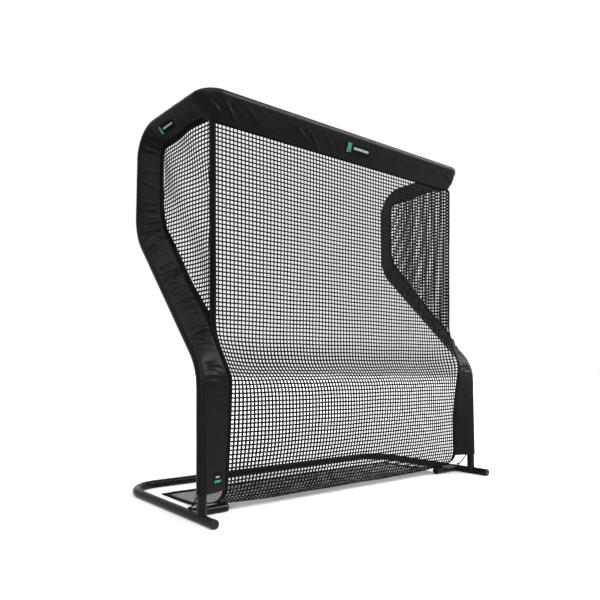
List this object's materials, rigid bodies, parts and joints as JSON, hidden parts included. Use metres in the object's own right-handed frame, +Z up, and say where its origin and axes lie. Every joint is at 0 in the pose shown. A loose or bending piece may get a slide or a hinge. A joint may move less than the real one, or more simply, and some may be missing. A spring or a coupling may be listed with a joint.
{
  "type": "golf practice net",
  "caption": "Golf practice net: push-together tube frame on floor rails, fabric sleeves over the upper tubes, hanging back net with side nets, and a net floor panel.",
  "frame": {"origin": "on the floor, at the middle of the bounding box in X and Y", "axes": "+X across the net to the right as seen from its front, +Y from the front (the crossbar's side) to the rear cross tube, +Z up"},
  "size_m": [2.44, 1.067, 2.286],
  "materials": {
    "black_powder_coat": "fine satin black powder coat",
    "black_plastic": "moulded black plastic, slightly textured",
    "spring_steel": "bare spring steel",
    "black_cover_fabric": "black coated woven cover cloth, sewn",
    "black_webbing": "black woven tape and elastic cord",
    "black_netting": "black knitted square netting",
    "woven_label": "plain woven label, no lettering"
  },
  "bodies": {
    "frame": {"base_rail_left": "black_powder_coat", "foot_stub_left": "black_powder_coat", "upright_foot_left": "black_powder_coat", "upright_left": "black_powder_coat", "slope_post_left": "black_powder_coat", "top_corner_left": "black_powder_coat", "crossbar_left": "black_powder_coat", "cord_eye_left": "black_powder_coat", "rail_cap_left": "black_plastic", "stub_cap_left": "black_plastic", "side_sleeve_left": "black_cover_fabric", "net_edge_tape_left": "black_webbing", "seam_webbing_left": "black_webbing", "tie_cord_left": "black_webbing", "side_net_left": "black_netting", "base_rail_right": "black_powder_coat", "foot_stub_right": "black_powder_coat", "upright_foot_right": "black_powder_coat", "upright_right": "black_powder_coat", "slope_post_right": "black_powder_coat", "top_corner_right": "black_powder_coat", "crossbar_right": "black_powder_coat", "cord_eye_right": "black_powder_coat", "rail_cap_right": "black_plastic", "stub_cap_right": "black_plastic", "side_sleeve_right": "black_cover_fabric", "net_edge_tape_right": "black_webbing", "seam_webbing_right": "black_webbing", "tie_cord_right": "black_webbing", "side_net_right": "black_netting", "rear_cross_tube": "black_powder_coat", "crossbar_sleeve": "black_cover_fabric", "rear_hem_tape": "black_webbing", "main_net": "black_netting", "label_crossbar": "woven_label", "label_side": "woven_label", "label_foot": "woven_label"},
    "clip_bar_left": {"snap_clip_bar_left": "spring_steel"},
    "clip_bar_right": {"snap_clip_bar_right": "spring_steel"},
    "clip_foot_left": {"snap_clip_foot_left": "spring_steel"},
    "clip_foot_right": {"snap_clip_foot_right": "spring_steel"},
    "clip_middle": {"snap_clip_middle": "spring_steel"},
    "clip_post_left": {"snap_clip_post_left": "spring_steel"},
    "clip_post_right": {"snap_clip_post_right": "spring_steel"},
    "clip_rear_left": {"snap_clip_rear_left": "spring_steel"},
    "clip_rear_right": {"snap_clip_rear_right": "spring_steel"},
    "clip_slope_left": {"snap_clip_slope_left": "spring_steel"},
    "clip_slope_right": {"snap_clip_slope_right": "spring_steel"}
  },
  "joints": [
    {"name": "press_bar_left", "type": "slide", "parent": "frame", "child": "clip_bar_left", "axis": [0, -0.3343, 0.9425], "range_m": [0, 0.0058], "stiffness_N_per_m": 1500, "springref_m": -0.002},
    {"name": "press_bar_right", "type": "slide", "parent": "frame", "child": "clip_bar_right", "axis": [0, -0.3343, 0.9425], "range_m": [0, 0.0058], "stiffness_N_per_m": 1500, "springref_m": -0.002},
    {"name": "press_foot_left", "type": "slide", "parent": "frame", "child": "clip_foot_left", "axis": [-0.9999, 0, 0.0103], "range_m": [0, 0.0058], "stiffness_N_per_m": 1500, "springref_m": -0.002},
    {"name": "press_foot_right", "type": "slide", "parent": "frame", "child": "clip_foot_right", "axis": [0.9999, 0, 0.0103], "range_m": [0, 0.0058], "stiffness_N_per_m": 1500, "springref_m": -0.002},
    {"name": "press_middle", "type": "slide", "parent": "frame", "child": "clip_middle", "axis": [0, 0.0518, 0.9987], "range_m": [0, 0.0058], "stiffness_N_per_m": 1500, "springref_m": -0.002},
    {"name": "press_post_left", "type": "slide", "parent": "frame", "child": "clip_post_left", "axis": [-0.383, 0.9235, 0.0188], "range_m": [0, 0.0058], "stiffness_N_per_m": 1500, "springref_m": -0.002},
    {"name": "press_post_right", "type": "slide", "parent": "frame", "child": "clip_post_right", "axis": [0.383, 0.9235, 0.0188], "range_m": [0, 0.0058], "stiffness_N_per_m": 1500, "springref_m": -0.002},
    {"name": "press_rear_left", "type": "slide", "parent": "frame", "child": "clip_rear_left", "axis": [0, 0, -1], "range_m": [0, 0.0058], "stiffness_N_per_m": 1500, "springref_m": -0.002},
    {"name": "press_rear_right", "type": "slide", "parent": "frame", "child": "clip_rear_right", "axis": [0, 0, -1], "range_m": [0, 0.0058], "stiffness_N_per_m": 1500, "springref_m": -0.002},
    {"name": "press_slope_left", "type": "slide", "parent": "frame", "child": "clip_slope_left", "axis": [-0.7186, 0.5207, -0.461], "range_m": [0, 0.0058], "stiffness_N_per_m": 1500, "springref_m": -0.002},
    {"name": "press_slope_right", "type": "slide", "parent": "frame", "child": "clip_slope_right", "axis": [0.7186, 0.5207, -0.461], "range_m": [0, 0.0058], "stiffness_N_per_m": 1500, "springref_m": -0.002}
  ]
}
